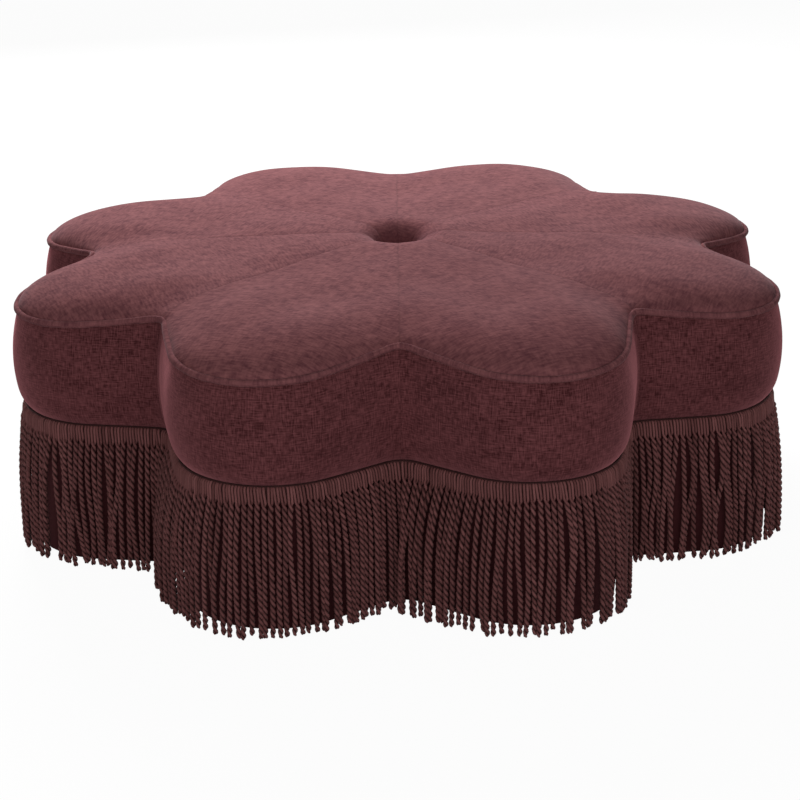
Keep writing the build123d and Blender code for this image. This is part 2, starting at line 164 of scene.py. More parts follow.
# How far single cords lean, hang back, bow and curl, and how far the heading's yarns slant
LEAN_SPREAD = 0.0016
HANG_BACK = 0.010
BOW_SPREAD = 0.0020
CURL_SPREAD = 0.0016
SLANT = -0.0018
SLANT_SPREAD = 0.0006
# How high above the floor the cords end, how much higher single ones do, and how unequal their starts are
END_HEIGHT = 0.0024
END_SPREAD = 0.0022
END_MOST = 0.008
START_SPREAD = 0.003
# How unequal the cords' twist is, as a share, and how far their plies lie out of step, in radians
TWIST_SPREAD = 0.1
PLY_SLACK = 0.09
# How the painted shade grows in the groove between two plies, and from the middle of a cord to its back
GROOVE_REACH = 1.3
GROOVE_POWER = 1.3
BACK_SHADE = 0.35
BACK_DEPTH = 0.0048
# How far each petal's cords flare out at the floor, from the front right petal round
FLARE = (0.019, 0.013, 0.014, 0.014, 0.014, 0.014, 0.012, 0.019)
# How much further out they are at a petal's right end, seen from outside, and less far at its left end
FLARE_SHIFT = (-0.018, 0.0, 0.0, 0.0, 0.0, 0.0, 0.006, -0.008)
# How far each petal's cords sway out of line, likewise
SWAY = (0.7, 1.4, 1.2, 1.1, 1.1, 1.2, 1.2, 0.7)


def outline(along, offset):
    """Point and normal's angle at a length along from a petal's tip, moved outwards by offset.

    On the petal's circle the angle is length / radius. Along the flank it stays as it is and the point runs
    on in a straight line. On the notch's circle the angle falls back by the length past the flank / radius.
    """
    length = np.abs(along)
    run = np.clip(length - PETAL_ARC, 0, FLANK)
    past = np.maximum(length - PETAL_ARC - FLANK, 0)
    turn = np.minimum(length / PETAL_ROUND, PETAL_TURN) - past / NOTCH_ROUND
    petal_x = PETAL_CENTRE + (PETAL_ROUND + offset) * np.cos(turn) - run * np.sin(PETAL_TURN)
    petal_y = (PETAL_ROUND + offset) * np.sin(turn) + run * np.cos(PETAL_TURN)
    x = np.where(past > 0, NOTCH_X - (NOTCH_ROUND - offset) * np.cos(turn), petal_x)
    y = np.where(past > 0, NOTCH_Y - (NOTCH_ROUND - offset) * np.sin(turn), petal_y)
    side = np.sign(along)
    return x, side * y, side * turn


def turned(x, y, petal):
    """A point of the first petal's axes turned to a petal's place: a plain rotation about the axis."""
    turn = FIRST_PETAL + petal * PITCH
    return x * np.cos(turn) - y * np.sin(turn), x * np.sin(turn) + y * np.cos(turn)


def around(x, y, petal):
    """A point turned to a petal's place, where hand work left some petals a little fuller or flatter.

    Each bulge is a bell curve of the direction, and grows with the square of the distance from the axis.
    """
    at_x, at_y = turned(x, y, petal)
    direction = np.degrees(np.arctan2(at_y, at_x))
    bulge = sum(size * np.exp(-(((direction - middle) / spread) ** 2)) for middle, spread, size in BULGES)
    grown = 1 + bulge * np.hypot(at_x, at_y) / TIP**2
    return at_x * grown, at_y * grown


def shares(count):
    """Shares from -1 to 1 across a petal, closer together towards both seams: the sine of an even turn."""
    return np.sin(np.linspace(-np.pi / 2, np.pi / 2, count + 1))


def whole_ring(count):
    """Share across and petal number of every column round the flower, count columns to a petal."""
    share = np.tile(shares(count)[:-1], PETALS)
    petal = np.repeat(np.arange(PETALS), count)
    return share, petal


def grid_faces(rows, columns, close_rows=False, close_columns=False):
    """Quads between the points of a grid, stored row by row, joined round where a direction is closed."""
    row, column = np.meshgrid(
        np.arange(rows if close_rows else rows - 1),
        np.arange(columns if close_columns else columns - 1),
        indexing="ij",
    )
    next_row = (row + 1) % rows
    next_column = (column + 1) % columns
    corners = (
        row * columns + column,
        next_row * columns + column,
        next_row * columns + next_column,
        row * columns + next_column,
    )
    return np.stack(corners, -1).reshape(-1, 4)


def new_object(name, points, faces, uv=None, smooth=True, **tones):
    """Mesh object at the origin from points, faces, a UV for each point and named values for each point."""
    points = np.asarray(points, float).reshape(-1, 3)
    mesh = bpy.data.meshes.new(name)
    mesh.from_pydata(points, [], faces)
    if uv is not None:
        corner = np.empty(len(mesh.loops), int)
        mesh.loops.foreach_get("vertex_index", corner)
        layer = mesh.uv_layers.new(name="cloth")
        layer.data.foreach_set("uv", np.asarray(uv, float).reshape(-1, 2)[corner].ravel())
    for tone, values in tones.items():
        layer = mesh.attributes.new(tone, "FLOAT", "POINT")
        layer.data.foreach_set("value", np.broadcast_to(values, len(points)).astype(float).ravel())
    if smooth:
        mesh.shade_smooth()
    obj = bpy.data.objects.new(name, mesh)
    bpy.context.scene.collection.objects.link(obj)
    return obj


def place(obj, slot, finish, *nodes):
    """Puts a piece on the object's body with its finish and hides the CAD nodes that it stands for. The slot
    is not used.
    """
    obj.data.materials.append(finish)
    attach(obj, "root")
    if nodes:
        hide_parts(*nodes)
    return obj


def thicken(obj, thickness, levels):
    """Rounds a cover by subdivision and gives it its thickness inwards."""
    smooth = obj.modifiers.new("round", "SUBSURF")
    smooth.levels = levels
    smooth.render_levels = levels
    wall = obj.modifiers.new("wall", "SOLIDIFY")
    wall.thickness = thickness
    wall.offset = -1.0


# The covers' cloth simulation, and how far the top and the sides may give
CLOTH_STEPS = 20
CLOTH_MASS = 0.3
CLOTH_STIFFNESS = 12
CLOTH_BENDING = 0.6
CLOTH_PRESSURE = 1.5
TOP_GIVE = 0.0006
SIDE_GIVE = 0.001


def inflated(points, faces, held, cap):
    """Points of a cover after a cloth simulation that presses it out between its held points.

    No point moves further than cap from where it started.
    """
    obj = new_object("cloth_trial", points, faces)
    pins = obj.vertex_groups.new(name="held")
    pins.add(np.flatnonzero(held).tolist(), 1.0, "REPLACE")
    cloth = obj.modifiers.new("cloth", "CLOTH")
    cloth.settings.quality = 5
    cloth.settings.mass = CLOTH_MASS
    cloth.settings.tension_stiffness = CLOTH_STIFFNESS
    cloth.settings.compression_stiffness = CLOTH_STIFFNESS
    cloth.settings.bending_stiffness = CLOTH_BENDING
    cloth.settings.use_pressure = True
    cloth.settings.uniform_pressure_force = CLOTH_PRESSURE
    cloth.settings.vertex_group_mass = "held"
    cloth.settings.effector_weights.gravity = 0
    cloth.point_cache.frame_end = CLOTH_STEPS
    for step in range(1, CLOTH_STEPS + 1):
        bpy.context.scene.frame_set(step)
    settled = obj.evaluated_get(bpy.context.evaluated_depsgraph_get()).data
    after = np.empty(points.size)
    settled.vertices.foreach_get("co", after)
    moved = after.reshape(points.shape) - points
    far = np.linalg.norm(moved, axis=-1, keepdims=True)
    bpy.context.scene.frame_set(1)
    bpy.data.objects.remove(obj)
    return points + moved * np.minimum(1, cap / np.maximum(far, 1e-9))


# Materials


class Wire:
    """A socket of a material. Arithmetic on wires and numbers adds Math nodes."""

    def __init__(self, nodes, socket):
        self.nodes = nodes
        self.socket = socket

    def __add__(self, other):
        return self.nodes.math("ADD", self, other)

    def __radd__(self, other):
        return self.nodes.math("ADD", other, self)

    def __sub__(self, other):
        return self.nodes.math("SUBTRACT", self, other)

    def __rsub__(self, other):
        return self.nodes.math("SUBTRACT", other, self)

    def __mul__(self, other):
        return self.nodes.math("MULTIPLY", self, other)

    def __rmul__(self, other):
        return self.nodes.math("MULTIPLY", other, self)


class Nodes:
    """Adds nodes to a tree."""

    def __init__(self, tree):
        self.tree = tree

    def join(self, socket, value):
        if isinstance(value, Wire):
            self.tree.links.new(value.socket, socket)
        else:
            socket.default_value = value

    def node(self, kind, settings=None, inputs=None, output=0):
        """A new node's output, with its settings made first and then its sockets' values or links."""
        node = self.tree.nodes.new("ShaderNode" + kind)
        for name, value in (settings or {}).items():
            setattr(node, name, value)
        for name, value in (inputs or {}).items():
            self.join(node.inputs[name], value)
        return Wire(self, node.outputs[output])

    def math(self, operation, first, second):
        return self.node("Math", {"operation": operation}, {0: first, 1: second})

    def blend(self, factor, first, second):
        """One colour turning into another."""
        return self.node("Mix", {"data_type": "RGBA"}, {0: factor, 6: first, 7: second}, 2)

    def noise(self, vector, stretch, detail):
        """Noise with so many lumps to the metre in each direction."""
        grown = self.node("VectorMath", {"operation": "MULTIPLY"}, {0: vector, 1: stretch})
        return self.node("TexNoise", None, {"Vector": grown, "Scale": 1.0, "Detail": detail})

    def tone(self, name):
        return self.node("Attribute", {"attribute_name": name}, None, "Fac")

    def bump(self, height, strength, distance):
        return self.node("Bump", None, {"Strength": strength, "Distance": distance, "Height": height})


def rgb(red, green, blue):
    return (red, green, blue, 1.0)


def new_finish(name, **constants):
    """A material, its nodes and its shader, with the sockets that are the same all over set by name."""
    material = bpy.data.materials.new(name)
    material.use_nodes = True
    shader = material.node_tree.nodes["Principled BSDF"]
    for socket, value in constants.items():
        shader.inputs[socket.replace("_", " ")].default_value = value
    return material, Nodes(material.node_tree), shader


# Painted shade laid along the seams between the panels
SEAM_SHADE = rgb(0.02, 0.006, 0.007)
# Painted shade laid in the grooves between the plies of the fringe's cords and on their backs
GROOVE_SHADE = rgb(0.010, 0.003, 0.003)


def chenille(
    name, shade, light, along_yarn, across_yarn, warp_share, contrast, slubs, sheen, spread, glow
):
    """Brushed chenille, on a UV in metres: crossing yarns, slubs, patches of nap, and painted shade along the
    seams and wherever its per-point tone darkens it.
    """
    material, nodes, shader = new_finish(
        name, Roughness=0.92, Sheen_Weight=sheen, Sheen_Roughness=spread, Sheen_Tint=glow,
        Specular_IOR_Level=0.0,
    )
    cloth = nodes.node("UVMap", {"uv_map": "cloth"})
    weft = nodes.noise(cloth, (along_yarn, across_yarn, 1.0), 3.0)
    warp = nodes.noise(cloth, (across_yarn, along_yarn, 1.0), 3.0)
    slub = nodes.noise(cloth, (75.0, 55.0, 1.0), 4.0)
    patch = nodes.noise(cloth, (14.0, 26.0, 1.0), 3.0)
    yarn = weft * (1 - warp_share) + warp * warp_share
    depth = 0.5 + (yarn - 0.5) * contrast + (slub - 0.5) * slubs + (patch - 0.5) * 0.7
    # Painted shade: the per-point tone darkens the cloth in the tuft's hollow, on the plinth between the
    # cords, on the piping and on panels that catch less light
    coloured = nodes.blend(depth * nodes.tone("nap"), shade, light)
    # Painted shade along the seams
    seam = nodes.tone("seam") * 0.16
    nodes.join(shader.inputs["Base Color"], nodes.blend(seam, coloured, SEAM_SHADE))
    nodes.join(shader.inputs["Normal"], nodes.bump(yarn, 0.25, 0.0015))
    return material


def bullion(name, shade, light):
    """Twisted rayon cord: fibres along the ply, painted shade where plies and cords meet, each cord its own
    tone.
    """
    material, nodes, shader = new_finish(name, Roughness=0.65, Sheen_Weight=0.02, Specular_IOR_Level=0.06)
    ply = nodes.node("UVMap", {"uv_map": "cloth"})
    fibre = nodes.noise(ply, (2200.0, 260.0, 1.0), 2.0)
    drift = nodes.noise(ply, (60.0, 30.0, 1.0), 1.0)
    height = fibre * 0.7 + drift * 0.3
    coloured = nodes.blend((height - 0.5) * 1.2 + nodes.tone("cord"), shade, light)
    # Painted shade in the grooves and on the backs of the cords, and over the tape
    groove = nodes.tone("groove") * 0.9
    nodes.join(shader.inputs["Base Color"], nodes.blend(groove, coloured, GROOVE_SHADE))
    nodes.join(shader.inputs["Normal"], nodes.bump(fibre, 0.25, 0.0004))
    return material


def spun(name, shade, light):
    """Plain spun fibre, such as cotton cord, twine or black cambric: fine fibres over slow drifts of tone."""
    material, nodes, shader = new_finish(name, Roughness=0.9, Sheen_Weight=0.1)
    spot = nodes.node("TexCoord", None, None, "Object")
    fine = nodes.noise(spot, (900.0, 900.0, 900.0), 2.0)
    drift = nodes.noise(spot, (40.0, 40.0, 40.0), 2.0)
    nodes.join(shader.inputs["Base Color"], nodes.blend(fine * 0.6 + drift * 0.4, shade, light))
    nodes.join(shader.inputs["Normal"], nodes.bump(fine, 0.3, 0.0005))
    return material


def foam(name, shade, light):
    """Open-cell foam: small round cells and a slow yellowing."""
    material, nodes, shader = new_finish(name, Roughness=0.95)
    spot = nodes.node("TexCoord", None, None, "Object")
    cells = nodes.node("TexVoronoi", None, {"Vector": spot, "Scale": 700.0})
    drift = nodes.noise(spot, (12.0, 12.0, 12.0), 3.0)
    nodes.join(shader.inputs["Base Color"], nodes.blend(cells * 0.5 + drift * 0.6, shade, light))
    nodes.join(shader.inputs["Normal"], nodes.bump(cells, 0.5, 0.0008))
    return material


def timber(name, shade, light, ply):
    """Wood: long grain on the faces, and where ply is set, dark and pale layers of veneer on the edges."""
    material, nodes, shader = new_finish(name, Roughness=0.7)
    spot = nodes.node("TexCoord", None, None, "Object")
    grain = nodes.noise(spot, (14.0, 160.0, 160.0), 4.0)
    fibre = nodes.noise(spot, (60.0, 900.0, 900.0), 2.0)
    depth = (grain - 0.5) * 1.6 + 0.4 + fibre * 0.2
    if ply:
        upright = nodes.node("SeparateXYZ", None, {0: nodes.node("NewGeometry", None, None, "Normal")}, 2)
        level = nodes.node("SeparateXYZ", None, {0: spot}, 2)
        veneer = nodes.math("PINGPONG", level, 0.0015) * 620.0
        edge = 1 - nodes.math("ABSOLUTE", upright, 0.0)
        depth = depth * (1 - edge) + edge * (veneer * 0.8 + fibre * 0.3 - 0.1)
    nodes.join(shader.inputs["Base Color"], nodes.blend(depth, shade, light))
    nodes.join(shader.inputs["Roughness"], 0.6 + grain * 0.25)
    nodes.join(shader.inputs["Normal"], nodes.bump(grain + fibre, 0.2, 0.0006))
    return material


def worn_metal(name, shade, light):
    """Zinc-plated steel: cloudy plating, rougher where it is dull."""
    material, nodes, shader = new_finish(name, Metallic=1.0)
    spot = nodes.node("TexCoord", None, None, "Object")
    cloud = nodes.noise(spot, (300.0, 300.0, 300.0), 3.0)
    nodes.join(shader.inputs["Base Color"], nodes.blend(cloud, shade, light))
    nodes.join(shader.inputs["Roughness"], 0.25 + cloud * 0.3)
    return material


def moulded(name, shade, light):
    """Moulded nylon: fine sparked grain and slight scuffs."""
    material, nodes, shader = new_finish(name, Roughness=0.5)
    spot = nodes.node("TexCoord", None, None, "Object")
    grain = nodes.noise(spot, (1500.0, 1500.0, 1500.0), 2.0)
    scuff = nodes.noise(spot, (90.0, 90.0, 90.0), 4.0)
    nodes.join(shader.inputs["Base Color"], nodes.blend(scuff, shade, light))
    nodes.join(shader.inputs["Roughness"], 0.35 + scuff * 0.35)
    nodes.join(shader.inputs["Normal"], nodes.bump(grain, 0.15, 0.0003))
    return material


# The top and the sides are one chenille in two copies: the top's colours are painted light and the sides'
# painted shade, for how the light falls on them. The piping and the button take the top's copy, the plinth
# the sides'.
TOP_CLOTH_LIT = chenille(
    "chenille_top_lit", rgb(0.160, 0.053, 0.064), rgb(0.380, 0.145, 0.148),
    along_yarn=75.0, across_yarn=300.0, warp_share=0.68, contrast=2.5, slubs=1.1,
    sheen=0.19, spread=0.33, glow=rgb(1.0, 0.77, 0.82),
)
SIDE_CLOTH_SHADED = chenille(
    "chenille_side_shaded", rgb(0.072, 0.0190, 0.0215), rgb(0.252, 0.082, 0.089),
    along_yarn=85.0, across_yarn=600.0, warp_share=0.5, contrast=4.3, slubs=0.4,
    sheen=0.70, spread=0.48, glow=rgb(1.0, 0.38, 0.42),
)
CORD_YARN = bullion("bullion_cord", rgb(0.111, 0.0365, 0.036), rgb(0.386, 0.156, 0.151))
COTTON = spun("cotton_twist", rgb(0.52, 0.47, 0.38), rgb(0.80, 0.76, 0.66))
CAMBRIC = spun("black_cambric", rgb(0.012, 0.012, 0.013), rgb(0.045, 0.045, 0.048))
SOFT_FOAM = foam("soft_foam", rgb(0.62, 0.60, 0.52), rgb(0.86, 0.84, 0.74))
FIRM_FOAM = foam("firm_foam", rgb(0.40, 0.52, 0.56), rgb(0.62, 0.74, 0.78))
PLYWOOD = timber("birch_plywood", rgb(0.42, 0.26, 0.13), rgb(0.74, 0.55, 0.34), ply=True)
SOFTWOOD = timber("planed_softwood", rgb(0.48, 0.30, 0.15), rgb(0.80, 0.62, 0.40), ply=False)
HARDBOARD = timber("bent_hardboard", rgb(0.15, 0.085, 0.045), rgb(0.26, 0.16, 0.09), ply=False)
STEEL = worn_metal("plated_steel", rgb(0.50, 0.50, 0.48), rgb(0.78, 0.78, 0.76))
NYLON = moulded("dark_nylon", rgb(0.015, 0.015, 0.016), rgb(0.05, 0.05, 0.052))


# The cover


def seam_height(share):
    """Height of the piping: it climbs nearly with the square of the share of the way from tip to notch."""
    return SEAM_AT_TIP + SEAM_RISE * np.abs(share) ** SEAM_POWER


def tuft_drop(radius):
    """How far the button pulls the cover down at a radius.

    It is like a quarter ellipse from the mouth to the seat, but with a power higher than 2, so that the mouth
    stays flat for longer and the wall is steeper.
    """
    pull = np.clip((TUFT_MOUTH - radius) / (TUFT_MOUTH - TUFT_SEAT), 0, 1)
    return TUFT_DEPTH * (1 - np.sqrt(1 - pull**TUFT_POWER))


PLEAT_COUNT = 11
PLEAT_WIDTH = 0.0045
PLEATS = chance.uniform(-np.pi, np.pi, PLEAT_COUNT)
PLEAT_DEPTHS = chance.uniform(0.0010, 0.0030, PLEAT_COUNT)
PLEAT_REACHES = chance.uniform(0.045, 0.085, PLEAT_COUNT)


def pleats(angle, radius):
    """Small folds that run out from the button: narrow grooves at random angles, fading with the radius."""
    swing = (angle[..., None] - PLEATS + np.pi) % (2 * np.pi) - np.pi
    groove = np.exp(-((swing * radius[..., None] / PLEAT_WIDTH) ** 2))
    fade = np.clip(1 - (radius[..., None] / PLEAT_REACHES) ** 2, 0, 1)
    return (PLEAT_DEPTHS * groove * fade).sum(-1)


def lumps(x, y):
    """Slow unevenness of the stuffing: a sum of crossing sine waves, 90 to 180 mm long."""
    return sum(size * np.sin(by_x * x + by_y * y + phase) for size, by_x, by_y, phase in LUMPS)


def crown_height(share, scale, radius, edge):
    """Height of the top at a scale of the flower: a quarter ellipse up to a flat middle, less the tuft.

    Towards the notches the flat middle shrinks with a power of the sine of the share, so that a soft valley
    runs in along each seam. A low dome lies on the middle, (1 - share^2)^2 high at a share of its reach.
    """
    flat = CROWN_FLAT + (CROWN_FLAT_AT_NOTCH - CROWN_FLAT) * np.sin(np.pi / 2 * np.abs(share)) ** VALLEY
    out = np.clip((scale - flat) / (1 - flat), 0, 1)
    rise = np.sqrt(1 - out**2)
    dome = CROWN_DOME * np.clip(1 - (scale / DOME_REACH) ** 2, 0, 1) ** 2
    return edge + (CROWN_TOP - edge) * rise + dome - tuft_drop(radius)


def top_surface(columns, rows):
    """Points of the whole top as rows from button to seam by columns round the flower.

    Every column is a straight ray from the axis to the outline. The rows are closer at both ends. Also gives
    how close each point is to a seam, how light its cloth is painted, with painted shade in the hollow of the
    tuft, and its place on the flat cloth.
    """
    share, petal = whole_ring(columns)
    x, y, _ = outline(share * HALF_OUTLINE, SEAM_OFFSET)
    reach = np.hypot(x, y)
    angle = np.arctan2(y, x)
    run = (1 - np.cos(np.linspace(0, np.pi, rows)))[:, None] / 2
    radius = TUFT_SEAT + (reach - TUFT_SEAT) * run
    height = crown_height(share, radius / reach, radius, seam_height(share) + SEAM_LAP)
    gap = radius * np.sin(PITCH / 2 - np.abs(angle))
    at_x, at_y = around(radius * np.cos(angle), radius * np.sin(angle), petal)
    inside = np.clip((1 - radius / reach) / LUMP_FADE, 0, 1)
    height = height + lumps(at_x, at_y) * inside - pleats(np.arctan2(at_y, at_x), radius)
    height = height - TOP_CREASE * np.exp(-gap / TOP_CREASE_WIDTH)
    points = np.stack([at_x, at_y, height], -1)
    closeness = np.exp(-((gap / TOP_SEAM_LINE) ** 2))
    step = np.hypot(np.diff(radius, axis=0), np.diff(height, axis=0))
    reach = TUFT_SEAT + np.vstack([np.zeros_like(step[:1]), np.cumsum(step, axis=0)])
    flat = np.stack([reach * np.cos(angle), reach * np.sin(angle)], -1)
    # Painted shade in the hollow round the button
    nap = 1 - TUFT_SHADE * np.exp(-(((radius - TUFT_SEAT) / TUFT_SHADE_REACH) ** 2))
    return points, closeness, nap, flat


def petal_columns(petal, columns):
    """Columns of one petal in the whole ring, from its first seam to its last."""
    return (petal * columns + np.arange(columns + 1)) % (PETALS * columns)


TOP_COLUMNS = 44
TOP_ROWS = 46
# Painted light and shade for how the light catches each panel's nap, as a share of full lightness, from the
# front right petal round
PANEL_NAP_AND_SHADE = (0.88, 0.86, 0.95, 1.00, 1.00, 1.00, 1.00, 1.02)

points, closeness, nap, flat = top_surface(TOP_COLUMNS, TOP_ROWS)
held = np.zeros(points.shape[:2], bool)
held[[0, -1]] = True
whole = grid_faces(TOP_ROWS, PETALS * TOP_COLUMNS, close_columns=True)
points = inflated(points.reshape(-1, 3), whole, held.ravel(), TOP_GIVE).reshape(points.shape)
for petal in range(PETALS):
    pick = petal_columns(petal, TOP_COLUMNS)
    cloth = flat[:, pick].copy()
    cloth[:, -1, 1] *= -1
    panel = new_object(
        f"top_cover_{petal + 1}", points[:, pick], grid_faces(TOP_ROWS, TOP_COLUMNS + 1), cloth + petal,
        seam=closeness[:, pick].ravel(), nap=(nap[:, pick] * PANEL_NAP_AND_SHADE[petal]).ravel(),
    )
    thicken(panel, COVER, 1)
    place(panel, "chenille", TOP_CLOTH_LIT, f"top_panel_{petal + 1}")


def side_offset(up):
    """How far the side stands out from the seam's outline at a share of its height.

    It is a sine swell on a lean, and the lowest part is drawn in under the seat with the square of its depth.
    """
    raised = SWELL_START + (1 - SWELL_START) * up
    swell = SWELL_SLOPE * raised + SWELL_SINE * np.sin(np.pi * raised**SWELL_LEVEL) ** SWELL_POWER
    return SIDE_LEAN + SIDE_SWELL * swell - SIDE_TUCK * np.clip(1 - up / TUCK_SHARE, 0, 1) ** 2


def side_surface(columns, rows):
    """Points of the sides as rows from foot to seam by columns round the flower, creased at each notch.

    The crease fades exponentially from the notch's seam, and towards the foot and the piping. Also gives how
    close each point is to that seam, and its place on the flat cloth.
    """
    share, petal = whole_ring(columns)
    up = ((1 - np.cos(np.linspace(0, np.pi, rows))) / 2)[:, None]
    along = share * HALF_OUTLINE
    gap = HALF_OUTLINE - np.abs(along)
    crease = SIDE_CREASE * np.exp(-gap / SIDE_CREASE_WIDTH) * np.sin(np.pi * up) ** SIDE_CREASE_FADE
    x, y, _ = outline(along, side_offset(up) - crease)
    at_x, at_y = around(x, y, petal)
    height = SIDE_FOOT + up * (seam_height(share) - SEAM_LAP - SIDE_FOOT)
    points = np.stack(np.broadcast_arrays(at_x, at_y, height), -1)
    closeness = np.broadcast_to(np.exp(-((gap / SIDE_SEAM_LINE) ** 2)), height.shape)
    cloth = np.stack(np.broadcast_arrays(along, height), -1)
    return points, closeness, cloth


SIDE_COLUMNS = 56
SIDE_ROWS = 20

points, closeness, flat = side_surface(SIDE_COLUMNS, SIDE_ROWS)
held = np.zeros(points.shape[:2], bool)
held[[0, -1]] = True
held[:, ::SIDE_COLUMNS] = True
whole = grid_faces(SIDE_ROWS, PETALS * SIDE_COLUMNS, close_columns=True)[:, ::-1]
points = inflated(points.reshape(-1, 3), whole, held.ravel(), SIDE_GIVE).reshape(points.shape)
for petal in range(PETALS):
    pick = petal_columns(petal, SIDE_COLUMNS)
    cloth = flat[:, pick].copy()
    cloth[:, -1, 0] *= -1
    faces = grid_faces(SIDE_ROWS, SIDE_COLUMNS + 1)[:, ::-1]
    panel = new_object(
        f"side_cover_{petal + 1}", points[:, pick], faces, cloth + petal,
        seam=closeness[:, pick].ravel(), nap=1.0,
    )
    thicken(panel, COVER, 1)
    place(panel, "chenille", SIDE_CLOTH_SHADED, f"side_panel_{petal + 1}")


def seam_tube(columns, sides, radius, ply, turn):
    """A tube along the seam: a circle about each point of the outline, with ply ridges that wind along it.

    Crossing sine waves of the length make it a little thicker and thinner. Also gives the UV, in metres along
    and round it.
    """
    share, petal = whole_ring(columns)
    along = share * HALF_OUTLINE
    angle = np.linspace(0, 2 * np.pi, sides, endpoint=False)[:, None]
    length = along + (2 * petal + 1) * HALF_OUTLINE
    ridge = np.cos(ply * angle - 2 * np.pi * length / turn)
    uneven = np.sin(length * 61) * np.sin(length * 23 + 1) + np.sin(length * 173 + 2) * np.sin(length * 47)
    thick = radius * (1 + PIPING_RIDGE * ridge + PIPING_UNEVEN * uneven)
    x, y, _ = outline(along, PIPING_OFFSET + thick * np.cos(angle))
    at_x, at_y = around(x, y, petal)
    height = seam_height(share) + thick * np.sin(angle)
    cloth = np.stack(np.broadcast_arrays(length, angle * radius), -1)
    return np.stack([at_x, at_y, height], -1), cloth


points, cloth = seam_tube(PIPING_COLUMNS, PIPING_SIDES, PIPING_RADIUS, ply=1, turn=0.35)
faces = grid_faces(PIPING_SIDES, PETALS * PIPING_COLUMNS, True, True)[:, ::-1]
# The piping's cloth is painted a little darker: painted shade that holds back the light on its top
piping = new_object("seam_piping", points, faces, cloth, seam=0.0, nap=0.92)
place(piping, "chenille", TOP_CLOTH_LIT, "piping_cover")

points, cloth = seam_tube(PIPING_COLUMNS, FILLER_SIDES, FILLER_RADIUS, ply=3, turn=0.012)
faces = grid_faces(FILLER_SIDES, PETALS * PIPING_COLUMNS, True, True)[:, ::-1]
filler = new_object("piping_filler", points, faces, cloth)
place(filler, "cotton_cord", COTTON, "piping_cord")


# Stuffing


def flower_rows(rows, columns, placed=around):
    """Points for rows of offset, scale and height round the flower: the outline moved out, then scaled."""
    share, petal = whole_ring(columns)
    offset, scale, height = (np.array(row)[:, None] for row in zip(*rows))
    x, y, _ = outline(share * HALF_OUTLINE, offset)
    at_x, at_y = placed(x * scale, y * scale, petal)
    return np.stack(np.broadcast_arrays(at_x, at_y, height), -1)


FILL_COLUMNS = 24
# The block keeps clear of the deck, the pad and the cover, and has a narrow hole for the twine
BLOCK_FOOT = -0.018
BLOCK_TOP = -0.010
BLOCK_HEIGHT = 0.138
BLOCK_CLEARANCE = 0.001
BLOCK_UNDER_COVER = 0.007
BLOCK_HOLE = 0.012
block_bottom = DECK_TOP + BLOCK_CLEARANCE
block_top = PAD_BASE - BLOCK_CLEARANCE
block_rows = [(BLOCK_FOOT, BLOCK_HOLE, block_bottom), (BLOCK_FOOT, 1.0, block_bottom)]
block_rows += [
    (side_offset(up) - BLOCK_UNDER_COVER, 1.0, DECK_TOP + BLOCK_HEIGHT * up)
    for up in np.linspace(0.1, 0.8, 7)
]
block_rows += [(BLOCK_TOP, 1.0, block_top), (BLOCK_TOP, BLOCK_HOLE, block_top)]
points = flower_rows(block_rows, FILL_COLUMNS)
faces = grid_faces(len(block_rows), PETALS * FILL_COLUMNS, True, True)[:, ::-1]
block = new_object("foam_block", points, faces)
place(block, "firm_foam", FIRM_FOAM, "seat_foam")

# The pad follows the top from below, a little smaller
PAD_ROWS = 24
PAD_SCALE = 0.985
PAD_UNDER_COVER = 0.0065
PAD_HOLE = 0.035
PAD_FOOT = -0.010
PAD_SIDE = -0.009
PAD_EDGE = 0.012
crown = top_surface(FILL_COLUMNS, PAD_ROWS)[0]
crown = crown[1:-1] * (PAD_SCALE, PAD_SCALE, 1.0) - (0, 0, PAD_UNDER_COVER)
base_rows = [(PAD_FOOT, PAD_HOLE, PAD_BASE), (PAD_FOOT, 1.0, PAD_BASE), (PAD_SIDE, 1.0, PAD_BASE + PAD_EDGE)]
points = np.concatenate([flower_rows(base_rows, FILL_COLUMNS), crown[::-1]])
faces = grid_faces(len(points), PETALS * FILL_COLUMNS, True, True)[:, ::-1]
pad = new_object("crown_fill", points, faces)
place(pad, "soft_foam", SOFT_FOAM, "crown_pad")


# Button and twine


def lathe(radius, height, sides):
    """A profile of radii and heights carried round the axis."""
    angle = np.linspace(0, 2 * np.pi, sides, endpoint=False)
    return np.stack(np.broadcast_arrays(radius * np.cos(angle), radius * np.sin(angle), height), -1)


def capped_faces(rows, columns, upward):
    """Grid faces round an axis, for rows that run upward or downward, and a face across each end."""
    faces = grid_faces(rows, columns, close_columns=True)
    first = np.arange(columns)
    last = np.arange(columns)[::-1] + (rows - 1) * columns
    listed = faces.tolist() + [first.tolist(), last.tolist()]
    return [face[::-1] for face in listed] if upward else listed


# The button: a low dome on a short wall, with its cloth gathered in small folds round the edge
BUTTON_SIDES = 64
BUTTON_ROWS = 12
BUTTON_RADIUS = 0.0190
BUTTON_FOOT = 0.0182
BUTTON_WALL = 0.004
BUTTON_DOME = 0.008
GATHERS = 22
GATHER_DEPTH = 0.012
slope = np.linspace(0, 1, BUTTON_ROWS)[:, None]
bend = slope * np.pi / 2 * 0.97
angle = np.linspace(0, 2 * np.pi, BUTTON_SIDES, endpoint=False)
gather = 1 - GATHER_DEPTH * np.cos(GATHERS * angle + np.sin(3 * angle)) * (1 - slope) ** 2
ring = np.vstack([[[BUTTON_FOOT]], BUTTON_RADIUS * np.cos(bend) ** 0.8])
level = np.vstack([[[BUTTON_SEAT]], BUTTON_SEAT + BUTTON_WALL + BUTTON_DOME * np.sin(bend)])
points = lathe(ring * np.vstack([gather[:1], gather]), level, BUTTON_SIDES)
faces = capped_faces(BUTTON_ROWS + 1, BUTTON_SIDES, upward=True)
button = new_object("tuft_button", points, faces, points[..., :2], seam=0.0, nap=0.95)
place(button, "chenille", TOP_CLOTH_LIT, "button_cap")

